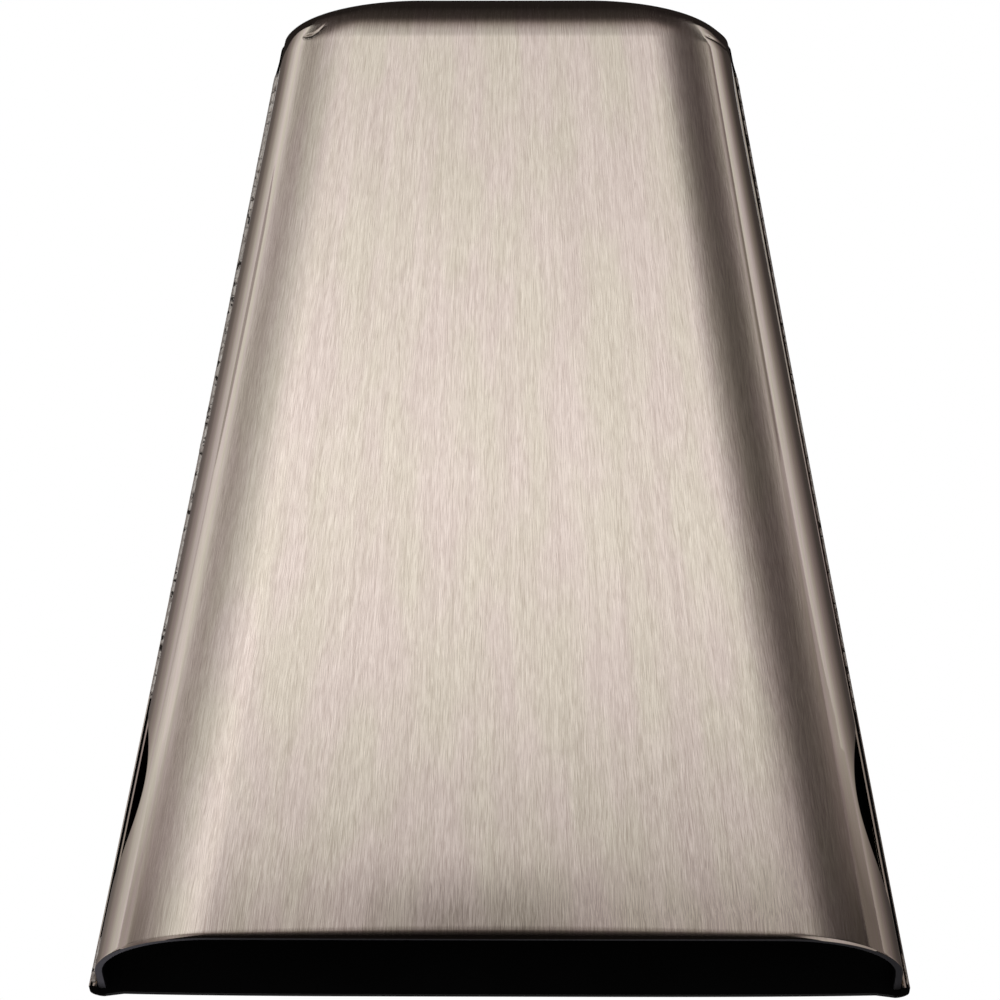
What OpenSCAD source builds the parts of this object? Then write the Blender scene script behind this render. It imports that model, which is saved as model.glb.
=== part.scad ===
// Hand cowbell lying on its flat back: mouth towards -Y, closed end towards +Y, striking face up.
// The formed front shell nests inside the rim of the back shell, and weld beads lie on top of the rim.

/* [Bell] */
// Length from the mouth to the closed end
bell_length = 200; // [170:1:240]
// Width over the rims at the mouth
mouth_width = 149; // [120:0.5:180]
// Width over the rims where the straight sides reach the closed end
end_width = 86.5; // [70:0.5:115]
// Depth from the back to the face at the mouth
mouth_depth = 31.5; // [28:0.5:45]
// Depth from the back to the face at the closed end
end_depth = 21; // [19:0.5:30]
// Thickness of the sheet steel
sheet = 1.4; // [1:0.1:2]

/* [Front shell] */
// Height of the round shoulders between the face and the side walls, at the mouth
mouth_shoulder_height = 20; // [12:0.5:24]
// Width of the same shoulders across the face, at the mouth
mouth_shoulder_width = 22; // [14:0.5:28]
// Height of the shoulders where the straight sides reach the closed end
end_shoulder_height = 11.5; // [6:0.5:14]
// Width of the shoulders where the straight sides reach the closed end
end_shoulder_width = 15; // [8:0.5:20]
// Shoulder radius left on the flat of the end wall
end_wall_shoulder_r = 4.5; // [3:0.5:5]
// Length along the bell of the bend from the face into the end wall
end_bend_length = 12; // [8:0.5:16]
// Fall of the face over that bend
end_bend_drop = 8; // [4:0.5:9]
// Depth along the bell of the round corners of the closed end
end_corner_depth = 6.5; // [4:0.5:9]
// Width of the flat of the end wall, between its two round corners
end_flat_width = 22; // [11:0.5:40]

/* [Side slots] */
// Distance from the mouth to the near end of each slot, along the rim
slot_start = 8; // [5:0.5:40]
// Length of each slot along the rim
slot_length = 45.5; // [35:0.5:80]
// Height of each slot above the rim
slot_height = 15; // [6:0.5:17]

/* [Back shell] */
// Height of the rim above the underside of the back
rim_height = 6; // [5:0.1:7.5]
// Outer radius of the bend between the back and its rim
rim_bend_r = 3; // [2.2:0.1:4]
// Gap between the front shell's wall and the rim around it
lap_clearance = 0.1; // [0.05:0.01:0.3]

/* [Welds] */
// Height of a weld bead above the rim
bead_height = 2.2; // [1:0.1:2.5]
// Length of one ripple along a bead
ripple_pitch = 3; // [2:0.25:6]
// Depth of the dips between the ripples
ripple_depth = 0.35; // [0.1:0.05:0.5]
// Distance kept between a bead and the end of a slot
bead_slot_gap = 0.5; // [0:0.1:2]
// Width of the end weld across the closed end
end_weld_width = 64; // [30:1:76]

/* [Hidden] */

steel = "#b9b1a6";
weld_steel = "#8f8a84";

// Steps of the curved stretches
near_steps = 2;
slot_steps = 16;
far_steps = 6;
bend_steps = 3;
turn_steps = 12;
wall_steps = 3;
shoulder_steps = 10;
rim_bend_steps = 4;
bead_round_steps = 4;

// Least height of wall drawn below the shoulder, beside the top of a slot
least_wall = 2;
// Share of its full size that a bead has at its two ends
bead_end_share = 0.55;

// The front shell's wall lies this far inside the rim's outer face
lap = sheet + lap_clearance;
mouth_y = -bell_length / 2;
turn_start_y = bell_length / 2 - lap - end_corner_depth;
bend_start_y = bell_length / 2 - lap - end_bend_length;
far_end_y = min(bend_start_y, turn_start_y);
wall_foot = rim_bend_r + lap_clearance;

// Each slot is a round cut through the wall, seen from the side
slot_y = mouth_y + slot_start + slot_length / 2;
slot_r = (pow(slot_length / 2, 2) + pow(slot_height, 2)) / (2 * slot_height);
slot_axis_z = rim_height + slot_height - slot_r;
slot_foot_angle = asin((wall_foot - slot_axis_z) / slot_r);
slot_reach = slot_r * cos(slot_foot_angle);

function blend(from, to, share) = from + (to - from) * share;

// Share of the way from the mouth to the closed end
function along(y) = y / bell_length + 1 / 2;

// Half width of the front shell's outer wall, height of its face, and height and width of its shoulders
function wall_x(y) = blend(mouth_width, end_width, along(y)) / 2 - lap;
function face_z(y) = blend(mouth_depth, end_depth, along(y));
function shoulder_height(y) = blend(mouth_shoulder_height, end_shoulder_height, along(y));
function shoulder_width(y) = blend(mouth_shoulder_width, end_shoulder_width, along(y));

// Width of each round corner of the closed end, seen from above
end_corner_width = wall_x(bell_length / 2 - lap) - end_flat_width / 2;

// Point of the plan outline that lies a distance out from the front shell's wall
function plan_point(y, turn, out) =
    let (end_y = y + (end_corner_depth + out) * sin(turn))
    [wall_x(end_y) + out - (end_corner_width + out) * (1 - cos(turn)), end_y];

// Height of the lower edge of the wall, raised by the round cut of the slot
function foot_z(y) =
    let (off = abs(y - slot_y))
    off >= slot_reach ? wall_foot : slot_axis_z + sqrt(slot_r * slot_r - off * off);

// Fall of the face round the end bend, a depth inside its outer skin
function bend_fall(y, depth) =
    let (share = min(max((y - bend_start_y) / (end_bend_length - depth), 0), 1))
    (end_bend_drop - depth) * (1 - sqrt(1 - share * share));

// Stations from the mouth to the end wall, each a place along Y and a turn round the corner
turns = [for (i = [1 : turn_steps]) 90 * i / turn_steps];
stations = concat(
    [for (i = [0 : near_steps - 1]) [blend(mouth_y, slot_y - slot_reach, i / near_steps), 0]],
    [for (i = [0 : slot_steps])
        let (angle = blend(slot_foot_angle, 180 - slot_foot_angle, i / slot_steps))
        [slot_y - slot_r * cos(angle), 0]],
    [for (i = [1 : far_steps]) [blend(slot_y + slot_reach, far_end_y, i / far_steps), 0]],
    [for (i = [1 : bend_steps]) if (far_end_y < turn_start_y) [blend(far_end_y, turn_start_y, i / bend_steps), 0]],
    [for (turn = turns) [turn_start_y, turn]]
);

// Right half of a section, from the foot of the wall to the edge of the flat face
function half_section(half_width, top, round_height, round_width, foot) =
    let (
        tangent_z = top - round_height,
        split_z = max(tangent_z, foot + least_wall),
        first_angle = asin((split_z - tangent_z) / round_height)
    )
    concat(
        [for (k = [0 : wall_steps])
            let (
                z = blend(foot, split_z, k / wall_steps),
                rise = max(z - tangent_z, 0) / round_height
            )
            [half_width - round_width * (1 - sqrt(1 - rise * rise)), z]],
        [for (k = [1 : shoulder_steps])
            let (angle = blend(first_angle, 90, k / shoulder_steps))
            [half_width - round_width * (1 - cos(angle)), tangent_z + round_height * sin(angle)]]
    );

// Section of the front shell at a station, a depth inside its outer skin, from right to left
function front_section(station, depth) =
    let (
        turn = station[1],
        fall = 1 - cos(turn),
        plan = plan_point(station[0], turn, -depth),
        y = plan[1],
        top = face_z(y) - depth - bend_fall(y, depth),
        round_height = blend(shoulder_height(y), end_wall_shoulder_r, fall) - depth,
        round_width = blend(shoulder_width(y), end_wall_shoulder_r, fall) - depth,
        right = half_section(plan[0], top, round_height, round_width, turn > 0 ? wall_foot : foot_z(y)),
        last = len(right) - 1
    )
    concat(
        [for (p = right) [p[0], y, p[1]]],
        [for (k = [last : -1 : 0]) [-right[k][0], y, right[k][1]]]
    );

function quad(a, b, c, d) = [[a, b, c], [a, c, d]];
function joined(lists) = [for (list = lists) each list];

// Closed shell between an outer and an inner skin, open along its lower edge and at the first station
module sheet_shell(outer, inner) {
    rows = len(outer);
    wide = len(outer[0]);
    end = rows - 1;
    left = wide - 1;
    function o(i, j) = i * wide + j;
    function n(i, j) = (rows + i) * wide + j;
    skins = [for (i = [0 : end - 1], j = [0 : left - 1]) each concat(
        quad(o(i, j), o(i, j + 1), o(i + 1, j + 1), o(i + 1, j)),
        quad(n(i, j), n(i + 1, j), n(i + 1, j + 1), n(i, j + 1))
    )];
    lip = [for (j = [0 : left - 1]) each quad(o(0, j), n(0, j), n(0, j + 1), o(0, j + 1))];
    feet = [for (i = [0 : end - 1]) each concat(
        quad(o(i, 0), o(i + 1, 0), n(i + 1, 0), n(i, 0)),
        quad(o(i + 1, left), o(i, left), n(i, left), n(i + 1, left))
    )];
    end_wall = [for (j = [0 : wide / 2 - 2]) each concat(
        quad(o(end, j), o(end, j + 1), o(end, left - 1 - j), o(end, left - j)),
        quad(n(end, left - j), n(end, left - 1 - j), n(end, j + 1), n(end, j))
    )];
    end_foot = quad(o(end, 0), o(end, left), n(end, left), n(end, 0));
    polyhedron(
        points = concat(joined(outer), joined(inner)),
        faces = concat(skins, lip, feet, end_wall, end_foot)
    );
}

// Solid swept through closed rings that all have as many points
module swept(rings) {
    size = len(rings[0]);
    last = len(rings) - 1;
    sides = [for (i = [0 : last - 1], k = [0 : size - 1])
        let (next = (k + 1) % size)
        each quad(i * size + k, i * size + next, (i + 1) * size + next, (i + 1) * size + k)];
    first_cap = [for (k = [size - 1 : -1 : 0]) k];
    last_cap = [for (k = [0 : size - 1]) last * size + k];
    polyhedron(points = joined(rings), faces = concat(sides, [first_cap, last_cap]));
}

// Stations of the rim from the mouth to the middle of the closed end
rim_stations = concat([[mouth_y, 0], [turn_start_y, 0]], [for (turn = turns) [turn_start_y, turn]]);

// Profile of the rim as steps out from the front shell's wall, and heights
bend_out = lap - rim_bend_r;
inner_bend_r = rim_bend_r - sheet;
function bend_profile(radius) = [for (k = [0 : rim_bend_steps])
    let (angle = 90 * k / rim_bend_steps)
    [bend_out + radius * sin(angle), rim_bend_r - radius * cos(angle)]];
function reversed(list) = [for (k = [len(list) - 1 : -1 : 0]) list[k]];
rim_profile = concat(
    bend_profile(rim_bend_r),
    [[lap, rim_height], [lap_clearance, rim_height]],
    reversed(bend_profile(inner_bend_r))
);

// Ring of a profile at a station, on the right (side 1) or on the left (side -1)
function ring(station, side, profile) = [for (p = profile)
    let (plan = plan_point(station[0], station[1], p[0]))
    [side * plan[0], plan[1], p[1]]];

module front_shell() {
    color(steel)
    sheet_shell(
        [for (station = stations) front_section(station, 0)],
        [for (station = stations) front_section(station, sheet)]
    );
}

module back_shell() {
    right = [for (s = rim_stations) plan_point(s[0], s[1], bend_out)];
    left = [for (p = reversed(right)) [-p[0], p[1]]];
    color(steel)
    union() {
        linear_extrude(sheet) polygon(concat(right, left));
        swept(concat(
            [for (s = rim_stations) ring(s, 1, rim_profile)],
            [for (s = reversed(rim_stations)) ring(s, -1, rim_profile)]
        ));
    }
}

// Rounded fillet of weld metal on top of the rim, as steps out from the wall, and heights
function bead_profile(share, dip) = concat(
    [[0, rim_height]],
    [for (k = [0 : bead_round_steps])
        let (angle = 90 * k / bead_round_steps)
        [(lap * share - dip) * cos(angle), rim_height + (bead_height * share - dip) * sin(angle)]]
);

// Bead profile for one ring of a bead, with a dip on every second ring and small ends
function ripple(i, last) =
    i == 0 || i == last ? bead_profile(bead_end_share, 0) : bead_profile(1, i % 2 == 0 ? ripple_depth : 0);

// Bead along the right side, from one distance along Y to another
module side_bead(from_y, to_y) {
    last = 2 * max(1, round((to_y - from_y) / ripple_pitch));
    color(weld_steel)
    swept([for (i = [0 : last]) ring([blend(from_y, to_y, i / last), 0], 1, ripple(i, last))]);
}

module seam_weld_right() {
    side_bead(mouth_y + slot_start + slot_length + bead_slot_gap, turn_start_y);
}

module seam_weld_left() {
    mirror([1, 0, 0]) seam_weld_right();
}

module mouth_tack_right() {
    side_bead(mouth_y, mouth_y + slot_start - bead_slot_gap);
}

module mouth_tack_left() {
    mirror([1, 0, 0]) mouth_tack_right();
}

// Ring of a profile across the closed end, at a distance from its middle
function end_ring(x, profile) =
    let (
        past_flat = max(abs(x) - end_flat_width / 2, 0),
        turn = acos(min(past_flat / end_corner_width, 1))
    )
    [for (p = profile)
        let (plan = plan_point(turn_start_y, turn, p[0]))
        [past_flat > 0 ? sign(x) * plan[0] : x, plan[1], p[1]]];

module end_weld() {
    last = 2 * max(1, round(end_weld_width / ripple_pitch));
    color(weld_steel)
    swept([for (i = [0 : last]) end_ring(end_weld_width * (1 / 2 - i / last), ripple(i, last))]);
}

front_shell();
back_shell();
seam_weld_left();
seam_weld_right();
mouth_tack_left();
mouth_tack_right();
end_weld();
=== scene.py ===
"""Looks of a hand cowbell that lies on its flat back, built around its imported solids.

Everything is in metres in the part's own frame: mouth towards -Y, closed end towards +Y, striking face up.
"""
import math

import bmesh
import bpy
import numpy as np
from mathutils import Matrix, Vector, noise


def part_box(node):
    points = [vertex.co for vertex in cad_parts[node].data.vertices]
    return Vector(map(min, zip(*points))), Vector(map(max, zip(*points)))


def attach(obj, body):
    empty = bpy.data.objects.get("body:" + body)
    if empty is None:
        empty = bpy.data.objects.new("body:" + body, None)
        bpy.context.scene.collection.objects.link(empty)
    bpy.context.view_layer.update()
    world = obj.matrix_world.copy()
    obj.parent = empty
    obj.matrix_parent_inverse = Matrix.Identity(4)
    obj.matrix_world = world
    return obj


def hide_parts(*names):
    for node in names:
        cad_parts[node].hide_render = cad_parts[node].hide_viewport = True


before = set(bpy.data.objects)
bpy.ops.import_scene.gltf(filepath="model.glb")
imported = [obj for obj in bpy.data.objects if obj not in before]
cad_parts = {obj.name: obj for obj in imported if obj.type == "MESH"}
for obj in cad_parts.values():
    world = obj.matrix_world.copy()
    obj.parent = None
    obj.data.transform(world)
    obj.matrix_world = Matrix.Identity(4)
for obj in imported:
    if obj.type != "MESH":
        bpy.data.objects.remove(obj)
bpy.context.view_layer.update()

MM = 0.001

# Sizes of the bell, read from the solids
back_low, back_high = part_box("back_shell")
front_low, front_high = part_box("front_shell")
LENGTH = back_high.y - back_low.y
MOUTH_Y = back_low.y
MOUTH_WIDTH = back_high.x - back_low.x
RIM_HEIGHT = back_high.z
MOUTH_DEPTH = front_high.z
WALL_FOOT = front_low.z

# Sizes of the bell that the boxes of its solids don't give
END_WIDTH = 86.5 * MM
END_DEPTH = 21 * MM
SHEET = 1.4 * MM
LAP_CLEARANCE = 0.1 * MM
MOUTH_SHOULDER_HEIGHT = 20 * MM
END_SHOULDER_HEIGHT = 11.5 * MM
MOUTH_SHOULDER_WIDTH = 22 * MM
END_SHOULDER_WIDTH = 15 * MM
END_WALL_SHOULDER_R = 4.5 * MM
END_BEND_LENGTH = 12 * MM
END_BEND_DROP = 8 * MM
END_CORNER_DEPTH = 6.5 * MM
END_FLAT_WIDTH = 22 * MM
SLOT_START = 8 * MM
SLOT_LENGTH = 45.5 * MM
SLOT_HEIGHT = 15 * MM
RIM_BEND_R = 3 * MM
BEAD_HEIGHT = 2.2 * MM
BEAD_SLOT_GAP = 0.5 * MM
END_WELD_WIDTH = 64 * MM
LEAST_WALL = 2 * MM

# The hand-cut slots differ: the left one lies this much further from the mouth and the right one nearer
SLOT_SHIFT = 1.4 * MM
# The rows of the wall move with its slot from this share of the way there to this share of its length past it
SLOT_EASE = (0.4, 0.5)
# Forming left the sides a little hollow and the face a little lower towards the mouth
WAIST = 0.3 * MM
MOUTH_ROLL = 16 * MM
MOUTH_DROP = 0.08 * MM
# Crease that the press left at each end corner, as points in mm from the middle, by side
CREASES = {
    1: [(38.3, 88.9), (41.0, 88.8), (43.2, 88.9)],
    -1: [(34.2, 90.9), (34.6, 90.5), (36.1, 88.9), (37.3, 88.3), (39.4, 88.6)],
}
CREASE_DEPTH = 0.18 * MM
CREASE_HALF = 0.4 * MM
CREASE_FADE = 1.2 * MM
# The drawn metal swells over the rim at each end corner, by side
CORNER_SWELL = {1: 0.5 * MM, -1: 0.25 * MM}
SWELL_RUN = (76 * MM, 92 * MM)
SWELL_FOOT = (6 * MM, 8.5 * MM)
SWELL_HEAD = (9.5 * MM, 14 * MM)
# The right end corner is a little rounder
CORNER_EASE = {1: 0.5 * MM, -1: 0}
EASE_RUN = (86 * MM, 94 * MM)
EASE_FOOT = (8 * MM, 12.5 * MM)
# The rim is trimmed round the closed end
END_TRIM = 0.4 * MM
TRIM_RUN = (84 * MM, 90 * MM)

# Edges of the sheet: the brushed face rolls down to the lip, and the other edges are sharper
FACE_LIP_R = 3.8 * MM
SIDE_LIP_R = 0.25 * MM
LIP_TILT = math.radians(34)
INNER_LIP_R = 0.1 * MM
EDGE_R = 0.2 * MM
RIM_EDGE_R = 0.4 * MM
RIM_FLAT = 0.28 * MM
RIM_FLAT_LOOP = 0.03 * MM
# The back reaches past the front's lip, less towards the sides but further at its two corners
BACK_REACH = 0.5 * MM
BACK_BOW = 0.55 * MM
CORNER_REACH = 0.6 * MM
CORNER_REACH_RUN = (2 * MM, 5 * MM)
# Flat kept behind a rounded lip, so that its shading stays on the lip
LIP_MARGIN = 0.3 * MM

LAP = SHEET + LAP_CLEARANCE
TURN_START_Y = LENGTH / 2 - LAP - END_CORNER_DEPTH
BEND_START_Y = LENGTH / 2 - LAP - END_BEND_LENGTH
SLOT_Y = MOUTH_Y + SLOT_START + SLOT_LENGTH / 2
SLOT_R = ((SLOT_LENGTH / 2) ** 2 + SLOT_HEIGHT ** 2) / (2 * SLOT_HEIGHT)
SLOT_AXIS_Z = RIM_HEIGHT + SLOT_HEIGHT - SLOT_R
SLOT_REACH = math.sqrt(SLOT_R ** 2 - (WALL_FOOT - SLOT_AXIS_Z) ** 2)

# Steps of the shells' grids
LIP_STEPS = 8
NEAR_STEPS = 10
SLOT_STEPS = 64
FAR_STEPS = 60
END_BEND_STEPS = 40
TURN_STEPS = 72
WALL_STEPS = 10
SHOULDER_STEPS = 84
FACE_STEPS = 24
EDGE_STEPS = 3
RIM_STEPS = 4
BEND_STEPS = 8


def blend(start, end, share):
    """The value a share of the way from start to end."""
    return start + (end - start) * share


def smooth_step(low, high, value):
    """0 below low, 1 above high and a smooth ramp between."""
    share = np.clip((value - low) / (high - low), 0, 1)
    return share * share * (3 - 2 * share)


# Outline of the bell, with the same rules as its solids


def along(y):
    """Share of the way from the mouth to the closed end."""
    return y / LENGTH + 0.5


def wall_x(y):
    """Half width of the front shell's outer wall."""
    hollow = 4 * WAIST * along(y) * (1 - along(y))
    return blend(MOUTH_WIDTH, END_WIDTH, along(y)) / 2 - LAP - hollow


def face_z(y):
    """Height of the striking face."""
    return blend(MOUTH_DEPTH, END_DEPTH, along(y))


def shoulder_height(y):
    """Height of the round shoulder between the face and the side walls."""
    return blend(MOUTH_SHOULDER_HEIGHT, END_SHOULDER_HEIGHT, along(y))


def shoulder_width(y):
    """Width of the same shoulder across the face."""
    return blend(MOUTH_SHOULDER_WIDTH, END_SHOULDER_WIDTH, along(y))


END_CORNER_WIDTH = wall_x(LENGTH / 2 - LAP) - END_FLAT_WIDTH / 2


def plan_point(y, turn, out):
    """Half width and Y of the plan outline, a distance out from the front shell's wall."""
    end_y = y + (END_CORNER_DEPTH + out) * np.sin(turn)
    return wall_x(end_y) + out - (END_CORNER_WIDTH + out) * (1 - np.cos(turn)), end_y


def foot_z(y, side):
    """Height of the wall's lower edge on one side, raised by the round cut of the slot."""
    off = np.minimum(np.abs(y - SLOT_Y + side * SLOT_SHIFT), SLOT_R)
    return np.maximum(WALL_FOOT, SLOT_AXIS_Z + np.sqrt(SLOT_R ** 2 - off ** 2))


def slot_place(place, side):
    """Place along Y of a row where it meets the wall on one side, moved with that side's slot."""
    from_mouth = place - MOUTH_Y
    slot_end = SLOT_START + SLOT_LENGTH
    near = smooth_step(SLOT_EASE[0] * SLOT_START, SLOT_START, from_mouth)
    far = smooth_step(slot_end, slot_end + SLOT_EASE[1] * SLOT_LENGTH, from_mouth)
    return place - side * SLOT_SHIFT * near * (1 - far)


def bend_fall(y, depth):
    """Fall of the face round the end bend, a depth inside its outer skin."""
    share = np.clip((y - BEND_START_Y) / (END_BEND_LENGTH - depth), 0, 1)
    return (END_BEND_DROP - depth) * (1 - np.sqrt(1 - share ** 2))


def mouth_fall(y):
    """Fall of the face towards the mouth."""
    return MOUTH_DROP * np.clip(1 - (y - MOUTH_Y) / MOUTH_ROLL, 0, 1) ** 2


def crease(x, y, side):
    """Depth of the crease in the outer skin at one side's end corner."""
    line_x, line_y = np.array(CREASES[side]).T * MM
    off = (y - np.interp(x, line_x, line_y)) / CREASE_HALF
    ends = smooth_step(0, CREASE_FADE, x - line_x[0]) * smooth_step(0, CREASE_FADE, line_x[-1] - x)
    return CREASE_DEPTH * ends * np.exp(-off ** 2)


def corner_swell(y, turn, z, side):
    """Swell of one side's wall over the rim at the end corner, less the easing of its shoulder."""
    near = smooth_step(*SWELL_RUN, y) * smooth_step(*SWELL_FOOT, z) * (1 - smooth_step(*SWELL_HEAD, z))
    ease = smooth_step(*EASE_RUN, y) * smooth_step(*EASE_FOOT, z)
    return CORNER_SWELL[side] * near * np.cos(turn) ** 4 - CORNER_EASE[side] * ease * np.cos(turn)


def rim_outs(place, outs):
    """Distances out from the wall, kept inside the rim, which is trimmed round the closed end."""
    return np.minimum(outs, LAP - END_TRIM * smooth_step(*TRIM_RUN, place))


def stations():
    """Places along Y and turns round the closed end, from behind the lip to the end wall."""
    first = MOUTH_Y + FACE_LIP_R * math.sin(LIP_TILT) + LIP_MARGIN
    near = np.linspace(first, SLOT_Y - SLOT_REACH, NEAR_STEPS + 1)[1:-1]
    slot_half_angle = math.acos((WALL_FOOT - SLOT_AXIS_Z) / SLOT_R)
    slot = SLOT_Y + SLOT_R * np.sin(np.linspace(-slot_half_angle, slot_half_angle, SLOT_STEPS))
    far = np.linspace(SLOT_Y + SLOT_REACH, BEND_START_Y, FAR_STEPS + 1)[1:]
    bend = np.linspace(BEND_START_Y, TURN_START_Y, END_BEND_STEPS + 1)[1:]
    straight = np.concatenate([near, slot, far, bend])
    turns = np.linspace(0, math.pi / 2, TURN_STEPS + 1)[1:]
    places = np.concatenate([straight, np.full(TURN_STEPS, TURN_START_Y)])
    return places, np.concatenate([np.zeros(len(straight)), turns])


# Shares of the wall, the shoulder and the face that each column of half a section has passed
wall_share = np.concatenate([np.linspace(0, 1, WALL_STEPS + 1), np.ones(SHOULDER_STEPS + FACE_STEPS)])
shoulder_share = np.concatenate([
    np.zeros(WALL_STEPS + 1),
    np.linspace(0, 1, SHOULDER_STEPS + 1)[1:],
    np.ones(FACE_STEPS),
])
face_share = np.concatenate([
    np.zeros(WALL_STEPS + 1 + SHOULDER_STEPS),
    np.linspace(0, 1, FACE_STEPS + 1)[1:],
])


def front_frame(place, turn, depth):
    """Half width, Y, top and the shoulder's height and width of the front shell.

    They are those of a skin that lies a depth inside the outer one.
    """
    half_width, y = plan_point(place, turn, -depth)
    fall = 1 - np.cos(turn)
    top = face_z(y) - depth - bend_fall(y, depth) - mouth_fall(y)
    height = blend(shoulder_height(y), END_WALL_SHOULDER_R, fall) - depth
    width = blend(shoulder_width(y), END_WALL_SHOULDER_R, fall) - depth
    return half_width, y, top, height, width


def front_wall(place, turn, depth, side, lift):
    """Point of one side's wall a lift above its lower edge, as if on the right."""
    half_width, y, top, height, width = front_frame(slot_place(place, side), turn, depth)
    z = foot_z(y, side) + lift
    rise = np.maximum(z - (top - height), 0) / height
    return np.stack(np.broadcast_arrays(half_width - width * (1 - np.sqrt(1 - rise ** 2)), y, z), -1)


def front_half(place, turn, depth, side):
    """One side's half of a section of the front shell, from the foot of its wall to the middle of its face.

    Both halves are given as if on the right.
    """
    place = blend(slot_place(place, side), place, face_share)
    half_width, y, top, height, width = front_frame(place, turn, depth)
    tangent = top - height
    foot = foot_z(y, side) + EDGE_R
    split = np.maximum(tangent, foot + LEAST_WALL)
    wall_z = blend(foot, split, wall_share)
    rise = np.maximum(wall_z - tangent, 0) / height
    first_angle = np.arcsin((split - tangent) / height)
    angle = blend(first_angle, math.pi / 2, shoulder_share)
    on_wall = shoulder_share == 0
    x = half_width - width * (1 - np.where(on_wall, np.sqrt(1 - rise ** 2), np.cos(angle)))
    z = np.where(on_wall, wall_z, tangent + height * np.sin(angle))
    x = x + corner_swell(y, turn, z, side)
    return np.stack(np.broadcast_arrays(x * (1 - face_share), y, z), -1)


def mirrored(points):
    """The points on the left side."""
    return points * np.array([-1, 1, 1])


def front_edge(place, turn, outer_depth, inner_depth, side):
    """Rounded lower edge of one side's wall, from the inner skin to the outer one."""
    angles = np.linspace(0, math.pi / 2, EDGE_STEPS + 2)[1:]
    inset = EDGE_R * (1 - np.cos(angles))
    lift = EDGE_R * (1 - np.sin(angles))
    outer = front_wall(place, turn, outer_depth + inset, side, lift)
    inner = front_wall(place, turn, inner_depth - inset, side, lift)
    return np.concatenate([inner, outer[::-1]])


def front_rows(side):
    """Outer skin, inner skin and lower edge of one side of the front shell, row by row from the mouth.

    The lip's roll is widest in the middle of the face and dies out towards the wall.
    """
    mouth_x = front_half(MOUTH_Y, 0, 0, side)[:, 0]
    rolled = 1 - (mouth_x / mouth_x[0]) ** 2
    lip_r = blend(SIDE_LIP_R, FACE_LIP_R, rolled)
    lip_angles = np.linspace(LIP_TILT, 0, LIP_STEPS + 1)
    lip_back = math.sin(LIP_TILT) - np.sin(lip_angles)
    lip_drop = 1 - np.cos(lip_angles)
    angles = np.linspace(math.pi / 2, 0, LIP_STEPS + 1)
    back = 1 - np.sin(angles)
    drop = 1 - np.cos(angles)
    outer, inner, edge = [], [], []
    for k in range(LIP_STEPS + 1):
        outer.append(front_half(MOUTH_Y + lip_r * lip_back[k], 0, lip_r * lip_drop[k], side))
        inner_depth = SHEET - INNER_LIP_R * drop[k]
        inner.append(front_half(MOUTH_Y + INNER_LIP_R * back[k], 0, inner_depth, side))
        edge.append(front_edge(MOUTH_Y + SIDE_LIP_R * back[k], 0, SIDE_LIP_R * drop[k], inner_depth, side))
    outer.append(front_half(MOUTH_Y + lip_r * lip_back[-1] + LIP_MARGIN, 0, 0, side))
    inner.append(front_half(MOUTH_Y + INNER_LIP_R + LIP_MARGIN, 0, SHEET, side))
    edge.append(front_edge(MOUTH_Y + SIDE_LIP_R + LIP_MARGIN, 0, 0, SHEET, side))
    for place, turn in zip(*stations()):
        outer.append(front_half(place, turn, 0, side))
        inner.append(front_half(place, turn, SHEET, side))
        edge.append(front_edge(place, turn, 0, SHEET, side))
    outer = np.array(outer)
    outer[..., 2] -= crease(outer[..., 0], outer[..., 1], side)
    return outer, np.array(inner), np.array(edge)


def back_half(place, turn, inner):
    """Right half of a section of the back shell, from the top of its rim to the middle of the back."""
    out = LAP_CLEARANCE if inner else LAP
    radius = RIM_BEND_R - SHEET if inner else RIM_BEND_R
    floor = SHEET if inner else 0
    angles = np.linspace(0, math.pi / 2, BEND_STEPS + 1)
    rim_top = RIM_HEIGHT - (RIM_EDGE_R if inner else EDGE_R)
    rim_z = np.linspace(rim_top, floor + radius, RIM_STEPS, endpoint=False)
    outs = np.concatenate([np.full(RIM_STEPS, out), out - radius * (1 - np.cos(angles))])
    z = np.concatenate([rim_z, floor + radius * (1 - np.sin(angles))])
    x, y = plan_point(place, turn, rim_outs(place, outs))
    across = x[-1] * np.linspace(1, 0, FACE_STEPS + 1)[1:]
    x = np.concatenate([x, across])
    y = np.concatenate([y, np.full(FACE_STEPS, y[-1])])
    z = np.concatenate([z, np.full(FACE_STEPS, floor)])
    return np.stack([x, y, z], -1)


def back_edge(place, turn):
    """Rounded top of the rim, from its inner face over a narrow bare flat to its outer face."""
    inner = np.linspace(0, math.pi / 2, EDGE_STEPS)[1:]
    outer = np.linspace(math.pi / 2, 0, EDGE_STEPS + 2)[:-1]
    flat = RIM_EDGE_R + np.array([RIM_FLAT_LOOP, RIM_FLAT])
    widths = np.concatenate([RIM_EDGE_R * (1 - np.cos(inner)), flat, SHEET - EDGE_R * (1 - np.cos(outer))])
    outs = LAP_CLEARANCE + widths
    z = RIM_HEIGHT - np.concatenate([RIM_EDGE_R * (1 - np.sin(inner)), [0, 0], EDGE_R * (1 - np.sin(outer))])
    x, y = plan_point(place, turn, rim_outs(place, outs))
    return np.stack([x, y, z], -1)


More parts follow.
